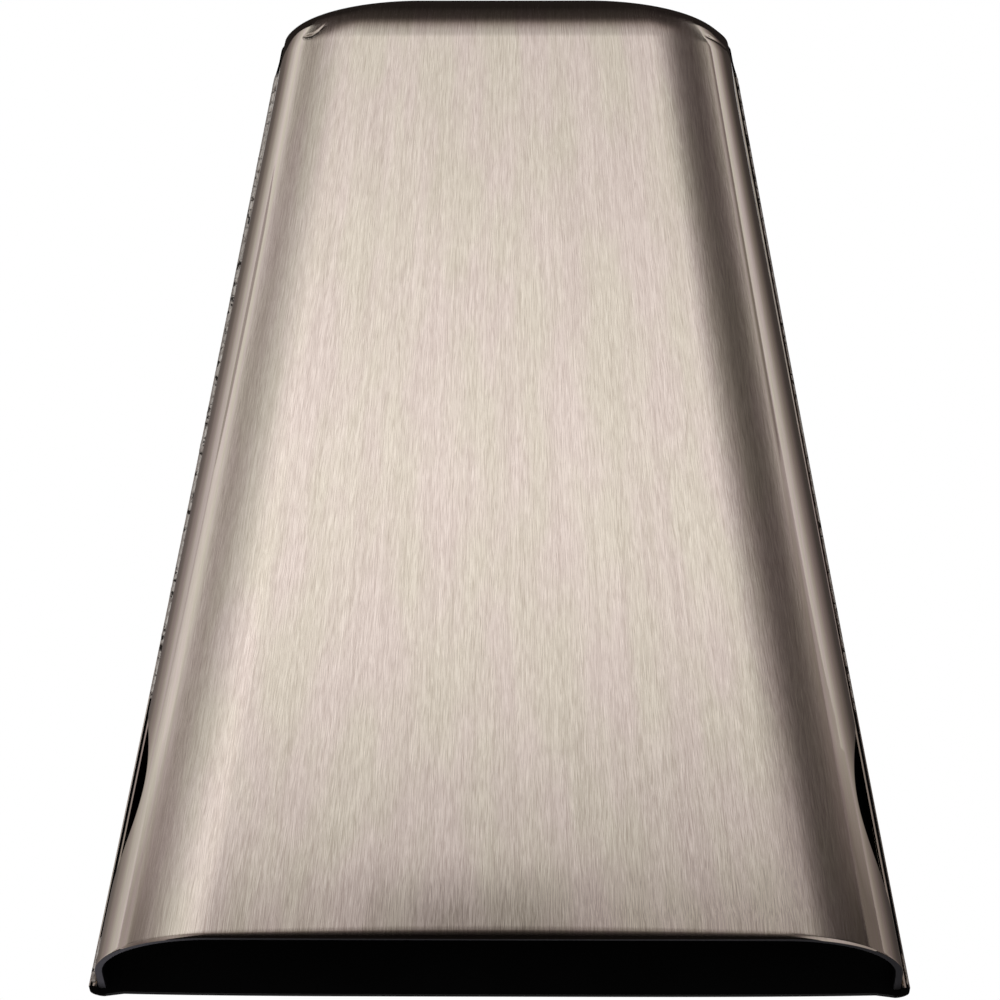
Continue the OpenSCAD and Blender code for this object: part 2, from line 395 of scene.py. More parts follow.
def back_rows():
    """Outer skin, inner skin and rim tops of the back shell, row by row from the mouth."""
    places, turns = stations()
    places = np.concatenate([[MOUTH_Y - BACK_REACH], places])
    turns = np.concatenate([[0], turns])
    outer = [back_half(place, turn, False) for place, turn in zip(places, turns)]
    inner = [back_half(place, turn, True) for place, turn in zip(places, turns)]
    edge = [back_edge(place, turn) for place, turn in zip(places, turns)]
    for rows in (outer, inner, edge):
        from_rim = MOUTH_WIDTH / 2 - rows[0][:, 0]
        rows[0][:, 1] -= CORNER_REACH * (1 - smooth_step(*CORNER_REACH_RUN, from_rim))
        rows[0][:, 1] += BACK_BOW * (2 * rows[0][:, 0] / MOUTH_WIDTH) ** 4
    return np.array(outer), np.array(inner), np.array(edge)


# Meshes


LEAST_NORMAL = 1e-12


def surface_normals(grid):
    """Unit normals of a grid of points."""
    normals = np.cross(np.gradient(grid, axis=0), np.gradient(grid, axis=1))
    return normals / np.maximum(np.linalg.norm(normals, axis=-1, keepdims=True), LEAST_NORMAL)


def arc_lengths(grid, axis):
    """Distance run along one axis of a grid of points."""
    steps = np.linalg.norm(np.diff(grid, axis=axis), axis=-1)
    return np.concatenate([np.zeros_like(np.take(steps, [0], axis)), np.cumsum(steps, axis)], axis)


def mesh_object(name, points, faces, materials, face_materials):
    """A smooth mesh object of points and faces, with an edge where two materials meet."""
    mesh = bpy.data.meshes.new(name)
    mesh.from_pydata([tuple(p) for p in points], [], faces)
    for material in materials:
        mesh.materials.append(material)
    mesh.polygons.foreach_set("material_index", face_materials)
    mesh.polygons.foreach_set("use_smooth", [True] * len(faces))
    tidy = bmesh.new()
    tidy.from_mesh(mesh)
    bmesh.ops.recalc_face_normals(tidy, faces=tidy.faces)
    for edge in tidy.edges:
        edge.smooth = len({face.material_index for face in edge.link_faces}) == 1
    tidy.to_mesh(mesh)
    tidy.free()
    mesh.update()
    made = bpy.data.objects.new(name, mesh)
    bpy.context.scene.collection.objects.link(made)
    return made


OUTSIDE, CUT, INSIDE = 0, 1, 2

# An edge of the sheet from its inner skin to its outer one: rounding, cut face, rounding
EDGE_KINDS = [OUTSIDE] * (EDGE_STEPS + 1) + [CUT] + [OUTSIDE] * (EDGE_STEPS + 1)


def shell_object(name, right, left, close_from, materials):
    """A closed sheet shell from rows of its two halves: skins, edges, cut mouth and closed end.

    From the column close_from of a half, the last row is one straight line across the end.
    """
    left = [mirrored(rows) for rows in left]
    outer = np.concatenate([right[0], left[0][:, -2::-1]], axis=1)
    inner = np.concatenate([right[1], left[1][:, -2::-1]], axis=1)
    rows, wide = outer.shape[:2]
    ring = np.concatenate([outer, left[2][:, ::-1], inner[:, ::-1], right[2]], axis=1)
    around = ring.shape[1]
    edge_steps = right[2].shape[1]
    column_kind = [OUTSIDE] * (wide - 1) + EDGE_KINDS[::-1] + [INSIDE] * (wide - 1) + EDGE_KINDS

    def at(row, column):
        return row * around + column % around

    faces = []
    kinds = []
    for row in range(rows - 1):
        for column in range(around):
            faces.append((
                at(row, column), at(row, column + 1),
                at(row + 1, column + 1), at(row + 1, column),
            ))
            kinds.append(column_kind[column])
    inner_first = wide + edge_steps
    for column in range(wide - 1):
        facing = inner_first + wide - 1 - column
        faces.append((at(0, column), at(0, column + 1), at(0, facing - 1), at(0, facing)))
        kinds.append(CUT)
    faces.append([at(0, column) for column in range(wide - 1, inner_first + 1)])
    faces.append([at(0, column) for column in range(inner_first + wide - 1, around + 1)])
    kinds += [CUT, CUT]
    for first, kind in ((0, OUTSIDE), (inner_first, INSIDE)):
        last = first + wide - 1
        for column in range(close_from - 1):
            faces.append((
                at(rows - 1, first + column), at(rows - 1, first + column + 1),
                at(rows - 1, last - column - 1), at(rows - 1, last - column),
            ))
            kinds.append(kind)
        flat = range(first + close_from - 1, last - close_from + 2)
        faces.append([at(rows - 1, column) for column in flat])
        kinds.append(kind)
    return mesh_object(name, ring.reshape(-1, 3), faces, materials, kinds), ring


def set_point_values(piece, name, values):
    """Stores one number for each point of a piece."""
    attribute = piece.data.attributes.new(name, "FLOAT", "POINT")
    attribute.data.foreach_set("value", np.ascontiguousarray(values, np.float32).ravel())


# Units of the brushing's UVs in a metre
GRAIN_UNITS = 10


def set_grain(piece, ring):
    """UVs whose U runs across the brushing and whose V runs along it.

    The brushing fans out with the bell's taper.
    """
    middle = ring.shape[1] // 4
    x, y, z = np.moveaxis(ring, -1, 0)
    fall = np.abs(z - z[:, middle:middle + 1])
    across = x / wall_x(y) * MOUTH_WIDTH / 2 + np.sign(x) * fall
    run = arc_lengths(ring[:, middle:middle + 1], 0)
    values = np.stack(np.broadcast_arrays(across, run), -1).reshape(-1, 2) * GRAIN_UNITS
    uv = piece.data.uv_layers.new(name="grain")
    corners = np.zeros(len(piece.data.loops), np.int32)
    piece.data.loops.foreach_get("vertex_index", corners)
    uv.data.foreach_set("uv", values[corners].astype(np.float32).ravel())


# Materials


class Nodes:
    """Adds the nodes of one material or world, and links them."""

    # Sockets of a Mix node for colours
    MIX_FACTOR, MIX_FIRST, MIX_SECOND, MIX_RESULT = 0, 6, 7, 2

    def __init__(self, owner):
        owner.use_nodes = True
        self.tree = owner.node_tree
        self.tree.nodes.clear()

    def add(self, kind, inputs=None, **settings):
        """A node with its settings, and each input set to a value or linked to a socket."""
        node = self.tree.nodes.new(kind)
        for name, value in settings.items():
            setattr(node, name, value)
        for key, value in (inputs or {}).items():
            if isinstance(value, bpy.types.NodeSocket):
                self.tree.links.new(value, node.inputs[key])
            else:
                node.inputs[key].default_value = value
        return node

    def math(self, operation, first, second=0.0, third=0.0):
        """Result of a Math node."""
        return self.add("ShaderNodeMath", {0: first, 1: second, 2: third}, operation=operation).outputs[0]

    def ramp(self, value, from_low, from_high, to_low, to_high):
        """A value brought from one range to another and kept inside it."""
        inputs = {
            "Value": value, "From Min": from_low, "From Max": from_high, "To Min": to_low, "To Max": to_high,
        }
        return self.add("ShaderNodeMapRange", inputs, interpolation_type="SMOOTHSTEP").outputs["Result"]

    def mix(self, share, first, second):
        """A colour a share of the way from first to second."""
        inputs = {self.MIX_FACTOR: share, self.MIX_FIRST: first, self.MIX_SECOND: second}
        return self.add("ShaderNodeMix", inputs, data_type="RGBA").outputs[self.MIX_RESULT]

    def noise(self, place, scale, detail=2.0, roughness=0.5):
        """Smooth noise from 0 to 1 at a place."""
        inputs = {"Vector": place, "Scale": scale, "Detail": detail, "Roughness": roughness}
        return self.add("ShaderNodeTexNoise", inputs).outputs["Fac"]

    def stretched(self, place, scale):
        """A place scaled by three factors."""
        inputs = {0: place, 1: scale}
        return self.add("ShaderNodeVectorMath", inputs, operation="MULTIPLY").outputs["Vector"]

    def attribute(self, name):
        """A number stored on the mesh."""
        return self.add("ShaderNodeAttribute", attribute_name=name).outputs["Fac"]

    def bump(self, height, strength, distance):
        """Normal of a surface with a height's bumps."""
        inputs = {"Strength": strength, "Distance": distance, "Height": height}
        return self.add("ShaderNodeBump", inputs).outputs["Normal"]


def grey(value):
    """A neutral colour."""
    return (value, value, value, 1.0)


# Brushing: scales of its noises across and along it, in the units of its UVs
DRIFT_SCALE = (6.0, 3.0, 1.0)
DRIFT_FINENESS = 4.0
JITTER_SCALE = (260.0, 0.6, 1.0)
STREAK_SCALE = (740.0, 26.0, 1.0)
LONG_STREAK_SCALE = (200.0, 3.0, 1.0)
PATCH_SCALE = (9.0, 3.0, 1.0)
BAND_SCALE = (55.0, 1.5, 1.0)
# How far the streaks wander sideways, and how far they are set off from each other along the bell
DRIFT = 0.008
JITTER = 0.3
# Shares of the streaks in the tone, and what the broad bands add to it at most
STREAK_SHARE = 0.8
LONG_STREAK_SHARE = 0.2
BAND_TONE = 0.03
BAND_RANGE = (0.2, 0.8)
# Tones of the darkest and the lightest streaks, and noise of the yellowest and the pinkest metal
STREAK_TONES = (0.31, 0.69)
WARMTH_RANGE = (0.35, 0.65)
# Colours, each in a yellower and a pinker kind: dark and light streaks, and the smooth shoulders
DARK_STREAKS = ((0.49, 0.43, 0.365, 1.0), (0.505, 0.42, 0.385, 1.0))
LIGHT_STREAKS = ((0.815, 0.75, 0.665, 1.0), (0.83, 0.735, 0.69, 1.0))
SHOULDER_TINTS = ((0.655, 0.60, 0.505, 1.0), (0.67, 0.565, 0.545, 1.0))
SHOULDER_STREAKS = 0.25
# Colour that the painted shade behind the middle of the lip and the darker rim top go towards
DARKENING_COLOUR = (0.1, 0.082, 0.07, 1.0)
# The painted shade behind the lip and the darker rim top lie more in the dark streaks: tones, and shares of
# them there
DARKENING_TONES = (0.25, 0.6)
DARKENING_SHARES = (1.0, 0.55)
BRUSHED_ROUGHNESS = 0.185
SMOOTH_ROUGHNESS = 0.035
STREAK_ROUGHNESS = 0.03
BRUSH_STRENGTH = 0.25
BRUSH_DEPTH = 0.014 * MM
BRUSH_ANISOTROPY = 0.9


def brushed_sheet():
    """Nickel-coloured sheet steel, brushed along the bell on its face and smoother on its shoulders."""
    material = bpy.data.materials.new("brushed_sheet")
    nodes = Nodes(material)
    grain = nodes.add("ShaderNodeUVMap", uv_map="grain").outputs["UV"]
    polish = nodes.attribute("polish")
    brushed = nodes.math("SUBTRACT", 1.0, polish)
    drift = nodes.noise(nodes.stretched(grain, DRIFT_SCALE), DRIFT_FINENESS, 1.0)
    jitter = nodes.noise(nodes.stretched(grain, JITTER_SCALE), 1.0, 1.0)
    offsets = {"X": nodes.math("MULTIPLY", drift, DRIFT), "Y": nodes.math("MULTIPLY", jitter, JITTER)}
    shift = nodes.add("ShaderNodeCombineXYZ", offsets).outputs["Vector"]
    place = nodes.add("ShaderNodeVectorMath", {0: grain, 1: shift}, operation="ADD").outputs["Vector"]
    streaks = nodes.noise(nodes.stretched(place, STREAK_SCALE), 1.0)
    long_streaks = nodes.noise(nodes.stretched(place, LONG_STREAK_SCALE), 1.0)
    patches = nodes.noise(nodes.stretched(grain, PATCH_SCALE), 1.0)
    bands = nodes.noise(nodes.stretched(place, BAND_SCALE), 1.0)
    short_tone = nodes.math("MULTIPLY", streaks, STREAK_SHARE)
    long_tone = nodes.math("MULTIPLY", long_streaks, LONG_STREAK_SHARE)
    band_tone = nodes.ramp(bands, *BAND_RANGE, -BAND_TONE, BAND_TONE)
    tone = nodes.math("ADD", nodes.math("ADD", short_tone, long_tone), band_tone)
    lines = nodes.ramp(tone, *STREAK_TONES, 0.0, 1.0)
    warmth = nodes.ramp(patches, *WARMTH_RANGE, 0.0, 1.0)
    face = nodes.mix(lines, nodes.mix(warmth, *DARK_STREAKS), nodes.mix(warmth, *LIGHT_STREAKS))
    tint = nodes.mix(nodes.ramp(bands, *WARMTH_RANGE, 0.0, 1.0), *SHOULDER_TINTS)
    smooth = nodes.mix(SHOULDER_STREAKS, tint, face)
    bright = nodes.mix(polish, face, smooth)
    # Painted shade behind the middle of the lip and a darker rim top, more in the dark streaks
    kept = nodes.ramp(tone, *DARKENING_TONES, *DARKENING_SHARES)
    darkened = nodes.math("MULTIPLY", nodes.attribute("darkening"), kept)
    colour = nodes.mix(darkened, bright, DARKENING_COLOUR)
    evenness = nodes.ramp(polish, 0.0, 1.0, BRUSHED_ROUGHNESS, SMOOTH_ROUGHNESS)
    roughness = nodes.math("ADD", evenness, nodes.math("MULTIPLY", streaks, STREAK_ROUGHNESS))
    bump = nodes.bump(streaks, nodes.math("MULTIPLY", brushed, BRUSH_STRENGTH), BRUSH_DEPTH)
    tangent = nodes.add("ShaderNodeTangent", direction_type="UV_MAP", uv_map="grain").outputs["Tangent"]
    shader = nodes.add("ShaderNodeBsdfPrincipled", {
        "Base Color": colour, "Metallic": 1.0, "Roughness": roughness, "Normal": bump,
        "Anisotropic": BRUSH_ANISOTROPY, "Tangent": tangent,
    })
    nodes.add("ShaderNodeOutputMaterial", {"Surface": shader.outputs["BSDF"]})
    return material


def object_place(nodes):
    """Place in the part's frame, in metres."""
    return nodes.add("ShaderNodeTexCoord").outputs["Object"]


# Painted light and shade on the cut: it is lightest at its left corner and darkens away from it and down to
# its feet
CUT_FADE_X = (-68 * MM, -44 * MM)
CUT_SHADE = 0.35
CUT_FADE_Z = (1.5 * MM, 7 * MM)
CUT_FOOT_SHADE = 0.08
CUT_COLOURS = ((0.045, 0.042, 0.052, 1.0), (0.11, 0.105, 0.12, 1.0))
CUT_SHADE_BLACK = grey(0.003)
CUT_LINE_SCALE = 2500.0
CUT_BUMP = (0.3, 0.03 * MM)
CUT_ROUGHNESS = 0.55
CUT_SPECULAR = 0.2


def cut_edge():
    """Sheared edge of the sheet: dark violet grey with fine drag lines, with painted light at its left corner
    and painted shade away from it and down to its feet.
    """
    material = bpy.data.materials.new("cut_edge")
    nodes = Nodes(material)
    place = object_place(nodes)
    lines = nodes.noise(place, CUT_LINE_SCALE, 3.0)
    metal = nodes.mix(lines, *CUT_COLOURS)
    parts = nodes.add("ShaderNodeSeparateXYZ", {"Vector": place}).outputs
    # Painted light at the cut's left corner, and painted shade away from it and down to its feet
    lit = nodes.ramp(parts["X"], *CUT_FADE_X, 1.0, CUT_SHADE)
    share = nodes.math("MULTIPLY", lit, nodes.ramp(parts["Z"], *CUT_FADE_Z, CUT_FOOT_SHADE, 1.0))
    colour = nodes.mix(share, CUT_SHADE_BLACK, metal)
    bump = nodes.bump(lines, *CUT_BUMP)
    shader = nodes.add("ShaderNodeBsdfPrincipled", {
        "Base Color": colour, "Roughness": CUT_ROUGHNESS, "Specular IOR Level": CUT_SPECULAR,
        "Normal": bump,
    })
    nodes.add("ShaderNodeOutputMaterial", {"Surface": shader.outputs["BSDF"]})
    return material


INSIDE_COLOURS = (grey(0.0012), grey(0.0025))
INSIDE_CLOUD_SCALE = 60.0
INSIDE_BUMP_SCALE = 900.0
INSIDE_BUMP = (0.2, 0.05 * MM)
INSIDE_ROUGHNESS = 0.6
INSIDE_SPECULAR = 0.04


def inside_black():
    """Near-black inside of both shells."""
    material = bpy.data.materials.new("inside_black")
    nodes = Nodes(material)
    place = object_place(nodes)
    colour = nodes.mix(nodes.noise(place, INSIDE_CLOUD_SCALE, 3.0), *INSIDE_COLOURS)
    bump = nodes.bump(nodes.noise(place, INSIDE_BUMP_SCALE), *INSIDE_BUMP)
    shader = nodes.add("ShaderNodeBsdfPrincipled", {
        "Base Color": colour, "Roughness": INSIDE_ROUGHNESS, "Specular IOR Level": INSIDE_SPECULAR,
        "Normal": bump,
    })
    nodes.add("ShaderNodeOutputMaterial", {"Surface": shader.outputs["BSDF"]})
    return material


WELD_COLOURS = ((0.55, 0.53, 0.50, 1.0), (0.78, 0.75, 0.72, 1.0))
WELD_CLOUD_SCALE = 160.0
WELD_CLOUD_RANGE = (0.3, 0.7)
WELD_ROUGHNESS = (0.35, 0.55)
WELD_BUMP = (0.5, 0.1 * MM)
SPECK_COLOUR = (0.05, 0.045, 0.042, 1.0)
SPECK_SCALE = 700.0
SPECK_RANGE = (0.54, 0.61)


def weld_metal():
    """Rough bare weld with dark specks of scale."""
    material = bpy.data.materials.new("weld_metal")
    nodes = Nodes(material)
    place = object_place(nodes)
    scale_specks = nodes.noise(place, SPECK_SCALE, 4.0, 0.65)
    clouds = nodes.noise(place, WELD_CLOUD_SCALE)
    metal = nodes.mix(clouds, *WELD_COLOURS)
    colour = nodes.mix(nodes.ramp(scale_specks, *SPECK_RANGE, 0.0, 1.0), metal, SPECK_COLOUR)
    bump = nodes.bump(scale_specks, *WELD_BUMP)
    roughness = nodes.ramp(clouds, *WELD_CLOUD_RANGE, *WELD_ROUGHNESS)
    shader = nodes.add("ShaderNodeBsdfPrincipled", {
        "Base Color": colour, "Metallic": 1.0, "Roughness": roughness, "Normal": bump,
    })
    nodes.add("ShaderNodeOutputMaterial", {"Surface": shader.outputs["BSDF"]})
    return material


# Pieces

# Tilts in degrees between which the brushing gives way to smooth metal
POLISH_TILTS = (34, 41)
# Near the mouth the brushing gives way over more tilt: by how much, and distances from the mouth
POLISH_SOFT = 8
POLISH_SOFT_RUN = (8 * MM, 60 * MM)

# Painted shade on the face behind the middle of the lip, which darkens its colour: its middle, half widths
# and depths from the lip
LIP_SHADE_X = -3.5 * MM
LIP_SHADE_HALVES = (6 * MM, 28 * MM)
LIP_SHADE_DEPTHS = (3 * MM, 17 * MM)
LIP_SHADE_STRENGTH = 0.47
# Darkening of the rim's top, which grows from the middle of the bell towards its closed end
RIM_DARKENING = 1.0
RIM_DARKENING_RUN = (0, 50 * MM)

steel = brushed_sheet()
cut_steel = cut_edge()
black_inside = inside_black()
weld = weld_metal()


def dress(piece, node):
    """Puts a piece in the place of its solid."""
    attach(piece, "root")
    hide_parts(node)


def tilts(ring):
    """Angles between the surface and the level, in degrees."""
    return np.degrees(np.arccos(np.clip(np.abs(surface_normals(ring)[..., 2]), 0, 1)))


def polished(ring):
    """Share of smooth metal."""
    soft = POLISH_SOFT * (1 - smooth_step(*POLISH_SOFT_RUN, ring[..., 1] - MOUTH_Y))
    return smooth_step(POLISH_TILTS[0] - soft, POLISH_TILTS[1] + soft, tilts(ring))


def darkening(ring):
    """Share of painted shade behind the middle of the lip."""
    off = np.abs(ring[..., 0] - LIP_SHADE_X)
    depth = ring[..., 1] - MOUTH_Y
    return LIP_SHADE_STRENGTH * (1 - smooth_step(*LIP_SHADE_HALVES, off)) * (1 - smooth_step(*LIP_SHADE_DEPTHS, depth))


def front_shell():
    """Formed front of the bell: face, shoulders, side walls, closed end and cut slots."""
    close_from = WALL_STEPS + SHOULDER_STEPS
    materials = [steel, cut_steel, black_inside]
    piece, ring = shell_object("front_shell_sheet", front_rows(1), front_rows(-1), close_from, materials)
    polish = polished(ring)
    polish[:LIP_STEPS + 1] = np.maximum(polish[LIP_STEPS + 2], np.linspace(1, 0, LIP_STEPS + 1)[:, None])
    polish[LIP_STEPS + 1] = polish[LIP_STEPS + 2]
    set_point_values(piece, "polish", polish)
    # Painted shade behind the middle of the lip
    set_point_values(piece, "darkening", darkening(ring))
    set_grain(piece, ring)
    dress(piece, "front_shell")


def back_shell():
    """Flat back with its upturned rim."""
    rows = back_rows()
    close_from = RIM_STEPS + BEND_STEPS
    piece, ring = shell_object("back_shell_pan", rows, rows, close_from, [steel, black_inside, black_inside])
    polish = polished(ring)
    rim_top = ring[..., 2] > RIM_HEIGHT - 2 * RIM_EDGE_R
    polish[rim_top] = 1
    # The rim's top darkens from the middle of the bell towards its closed end
    set_point_values(piece, "darkening", rim_top * RIM_DARKENING * smooth_step(*RIM_DARKENING_RUN, ring[..., 1]))
    set_point_values(piece, "polish", polish)
    set_grain(piece, ring)
    dress(piece, "back_shell")


# Weld beads

# Feet and heights of the side beads, flat-topped ridges on the rim, the right one on its outer half
LEFT_RIDGE = (0.15 * MM, 1.1 * MM)
RIGHT_RIDGE = (0.95 * MM, 0.7 * MM)
RIDGE_OUT = 1.4 * MM
RIDGE_FLATNESS = 0.55
RIPPLE_PITCH = 3 * MM
RIPPLE_BEND = 0.8 * MM
RIPPLE_DEPTH = 0.14
RIPPLE_SHARPNESS = 0.6
BEAD_STEP = 0.25 * MM
LEAST_RINGS = 8
BEAD_ROUND_STEPS = 12
BEAD_SINK = 0.15 * MM
# Sizes of a bead's roughness with their scales, and the range of its ripples' sizes
BEAD_ROUGHNESS = [(0.12 * MM, 900), (0.04 * MM, 2600)]
RIPPLE_SIZES = (0.75, 1.1)
# Length over which a bead rises at each end, the share it starts with, and the share of its swell in width
BEAD_END = 1.2 * MM
BEAD_END_LEAST = 0.02
BEAD_SPREAD = 0.4
SEAM_END_GAP = 5 * MM
# Share of the lumps and roughness of a ridge that the neater fillet across the end has
FILLET_LUMPS = 0.35


def side_place(run, out):
    """Place along the right side, at a Y and a distance out from the wall."""
    return wall_x(run) + out, run


def end_place(run, out):
    """Place across the closed end, at a distance from its middle and a distance out from its wall."""
    corner = np.maximum(np.abs(run) - END_FLAT_WIDTH / 2, 0)
    x, y = plan_point(TURN_START_Y, np.arccos(corner / END_CORNER_WIDTH), out)
    return np.where(corner > 0, np.sign(run) * x, run), y


def bead(name, node, place, side, reach, foot, height, seed):
    """Rippled weld bead on top of the rim, from a foot beside the wall to the rim's outer edge.

    With no foot it is a fillet that climbs the wall to its height, and else a ridge.
    """
    draws = np.random.default_rng(seed)
    rings = max(int((reach[1] - reach[0]) / BEAD_STEP), LEAST_RINGS)
    run = np.linspace(*reach, rings + 1)[:, None]
    angle = np.linspace(0, math.pi if foot > 0 else math.pi / 2, BEAD_ROUND_STEPS + 1)[None]
    middle = (foot + RIDGE_OUT) / 2 if foot > 0 else 0
    half = (RIDGE_OUT if foot > 0 else LAP) - middle
    rise = np.abs(np.sin(angle)) ** (RIDGE_FLATNESS if foot > 0 else 1)
    from_end = np.minimum(run - reach[0], reach[1] - run)
    ends = np.sqrt(np.clip(from_end / BEAD_END, BEAD_END_LEAST, 1))
    phase = (run + RIPPLE_BEND * np.sin(angle)) / RIPPLE_PITCH + draws.random()
    ripple = np.abs(np.sin(math.pi * phase)) ** RIPPLE_SHARPNESS
    lows = np.floor(phase).astype(int)
    lumps = 1 if foot > 0 else FILLET_LUMPS
    drawn = draws.uniform(*RIPPLE_SIZES, lows.max() - lows.min() + 1)
    sizes = blend(1, drawn, lumps)[lows - lows.min()]
    swell = ends * sizes * (1 - RIPPLE_DEPTH * (1 - ripple))
    out = middle + half * np.cos(angle) * blend(1, swell, BEAD_SPREAD)
    z = RIM_HEIGHT + height * rise * swell
    x, y = place(run, np.maximum(out, 0))
    points = np.stack(np.broadcast_arrays(side * x, y, z), -1)
    rough = np.zeros(points.shape[:2])
    shift = Vector((seed, 2 * seed, 0))
    for size, scale in BEAD_ROUGHNESS:
        heights = [[noise.noise(Vector(p) * scale + shift) for p in row] for row in points]
        rough += lumps * size * np.array(heights)
    points += surface_normals(points) * (rough * ends)[..., None] * side
    base = points[:, [-1, 0]] * [1, 1, 0] + [0, 0, RIM_HEIGHT - BEAD_SINK]
    ring = np.concatenate([points, base], axis=1)
    around = ring.shape[1]
    faces = []
    for row in range(rings):
        for column in range(around):
            after = (column + 1) % around
            faces.append((
                row * around + column, row * around + after,
                (row + 1) * around + after, (row + 1) * around + column,
            ))
    faces.append(list(range(around)))
    faces.append(list(range(rings * around, (rings + 1) * around)))
    piece = mesh_object(name, ring.reshape(-1, 3), faces, [weld], [0] * len(faces))
    dress(piece, node)


front_shell()
back_shell()
for side, word, seed, (foot, height) in ((-1, "left", 11, LEFT_RIDGE), (1, "right", 12, RIGHT_RIDGE)):
    slot_near = MOUTH_Y + SLOT_START - side * SLOT_SHIFT
    seam = (slot_near + SLOT_LENGTH + BEAD_SLOT_GAP, TURN_START_Y - SEAM_END_GAP)
    tack = (MOUTH_Y, slot_near - BEAD_SLOT_GAP)
    bead("seam_bead_" + word, "seam_weld_" + word, side_place, side, seam, foot, height, seed)
    bead("tack_bead_" + word, "mouth_tack_" + word, side_place, side, tack, foot, height, seed + 2)
end_reach = (-END_WELD_WIDTH / 2, END_WELD_WIDTH / 2)
bead("end_bead", "end_weld", end_place, side=1, reach=end_reach, foot=0, height=BEAD_HEIGHT, seed=15)

# Studio: pale floor, pale surroundings, a soft lamp and cards that only reflections see

FLOOR_SIDE = 5.8
FLOOR_DROP = 0.1 * MM
FLOOR_COLOUR = grey(0.95)
FLOOR_SHINE = 0.6
DOME_R = 8.0
DOME_STEP = 1.0
CARD_LIFT = 0.2 * MM
LAMP_SIDE = 2.0
LAMP_HEIGHT = 1.6
LAMP_POWER = 30.0
WORLD_FILL = 0.3
# Colours of a dark card and of one of this radiance or more
CARD_COLOURS = ((1.0, 0.85, 0.79, 1.0), (1.0, 0.985, 0.96, 1.0))
CARD_BRIGHT = 0.8

# Elevations in degrees with their radiance, to the left and the right of the bell
LEFT_STOPS = [
    (-2, 0.85), (2, 0.8), (5, 0.72), (8, 0.63), (12, 0.52), (16, 0.42), (21, 0.42), (27, 0.5), (33, 0.65),
    (41, 0.75), (48, 1.0), (55, 1.15), (62, 0.9), (66, 0.8), (72, 0.6), (90, 0.2),
]
RIGHT_STOPS = [
    (-2, 0.24), (0, 0.22), (2, 0.22), (4, 0.38), (7, 0.58), (10, 0.5), (13, 0.3), (17, 0.15), (22, 0.1),
    (44, 0.08), (49, 0.2), (54, 0.45), (58, 0.4), (62, 0.12), (90, 0.05),
]
RIGHT_FADE_STOPS = [
    (-2, 0.47), (1, 0.45), (4, 0.42), (7, 0.38), (11, 0.27), (16, 0.19), (21, 0.11), (30, 0.05), (50, 0.05),
    (54, 0.35), (58, 0.3), (62, 0.1), (90, 0.05),
]
# The same behind the two end corners, and beside the bell, mostly for other views
LEFT_CORNER_STOPS = [
    (-2, 0.06), (24, 0.08), (29, 0.15), (34, 0.5), (38, 0.72), (42, 0.78), (48, 1.0), (55, 1.15), (62, 0.9),
    (66, 0.8), (72, 0.6), (90, 0.2),
]
LEFT_TURN_STOPS = [
    (-2, 0.06), (14, 0.08), (19, 0.2), (26, 0.48), (33, 0.65), (41, 0.75), (48, 1.0), (55, 1.15), (62, 0.9),
    (66, 0.8), (72, 0.6), (90, 0.2),
]
RIGHT_CORNER_STOPS = [
    (-2, 0.06), (20, 0.07), (44, 0.08), (49, 0.2), (54, 0.45), (58, 0.4), (62, 0.12), (90, 0.05),
]
RIGHT_MIDDLE_STOPS = [
    (-2, 0.06), (20, 0.07), (38, 0.08), (44, 0.18), (49, 0.42), (54, 0.7), (58, 0.55), (62, 0.15), (90, 0.05),
]
SIDE_STOPS = [(-2, 0.35), (20, 0.45), (40, 0.55), (60, 0.5), (66, 0.4), (72, 0.12), (90, 0.05)]

# Sectors of the studio dome: name, azimuths in degrees from the closed end towards +X, share of the light
# at both azimuths, and elevations in degrees with their radiance
DOME_SECTORS = [
    ("key", (-26, 24), (1.4, 0.75), [
        (-2, 0.02), (24, 0.05), (30, 0.15), (34, 0.33), (42, 0.57), (50, 0.68), (56, 1.03), (61, 1.22),
        (63.5, 0.86), (65.5, 0.4), (69, 0.32), (82, 0.3), (88, 0.08), (90, 0.04),
    ]),
    ("left_corner", (-38, -26), (1.0, 1.0), LEFT_CORNER_STOPS),
    ("left_turn", (-46, -38), (1.0, 1.0), LEFT_TURN_STOPS),
    ("left", (-58, -46), (1.0, 1.0), LEFT_STOPS),
    ("left_fade", (-64, -58), (0.05, 1.0), LEFT_STOPS),
    ("left_front", (-130, -64), (0.4, 0.4), LEFT_STOPS),
    ("right_corner", (24, 36), (1.0, 1.0), RIGHT_CORNER_STOPS),
    ("right_middle", (36, 46), (1.0, 1.0), RIGHT_MIDDLE_STOPS),
    ("right", (46, 56), (1.0, 1.05), RIGHT_STOPS),
    ("right_fade", (56, 62), (1.0, 0.1), RIGHT_FADE_STOPS),
    ("right_front", (62, 76), (0.14, 0.14), RIGHT_STOPS),
    ("right_side", (76, 140), (1.0, 1.0), SIDE_STOPS),
    ("front", (140, 230), (1.0, 1.0), [
        (-2, 0.35), (20, 0.45), (34, 0.5), (38, 0.03), (42, 0.01), (64, 0.006), (90, 0.04),
    ]),
]

# Floor beside the bell, as its walls show it, with the bell's shadow painted on as radiance lowest at the
# rim: name, side, distances from the rim in mm with their radiance
FLOOR_STRIPS = [
    ("right", 1, [
        (0, 0.05), (8, 0.06), (13, 0.08), (18, 0.13), (24, 0.19), (32, 0.26), (40, 0.33), (52, 0.44),
        (66, 0.54), (85, 0.62), (120, 0.68), (200, 0.74), (400, 0.8), (2500, 0.78),
    ]),
    ("left", -1, [
        (0, 0.12), (8, 0.15), (13, 0.2), (16, 0.28), (22, 0.33), (30, 0.44), (40, 0.6), (60, 0.68),
        (90, 0.82), (130, 0.88), (300, 0.88), (2500, 0.85),
    ]),
]
STRIP_REACH = (-0.12, 2.9)
STRIP_STEPS = 25

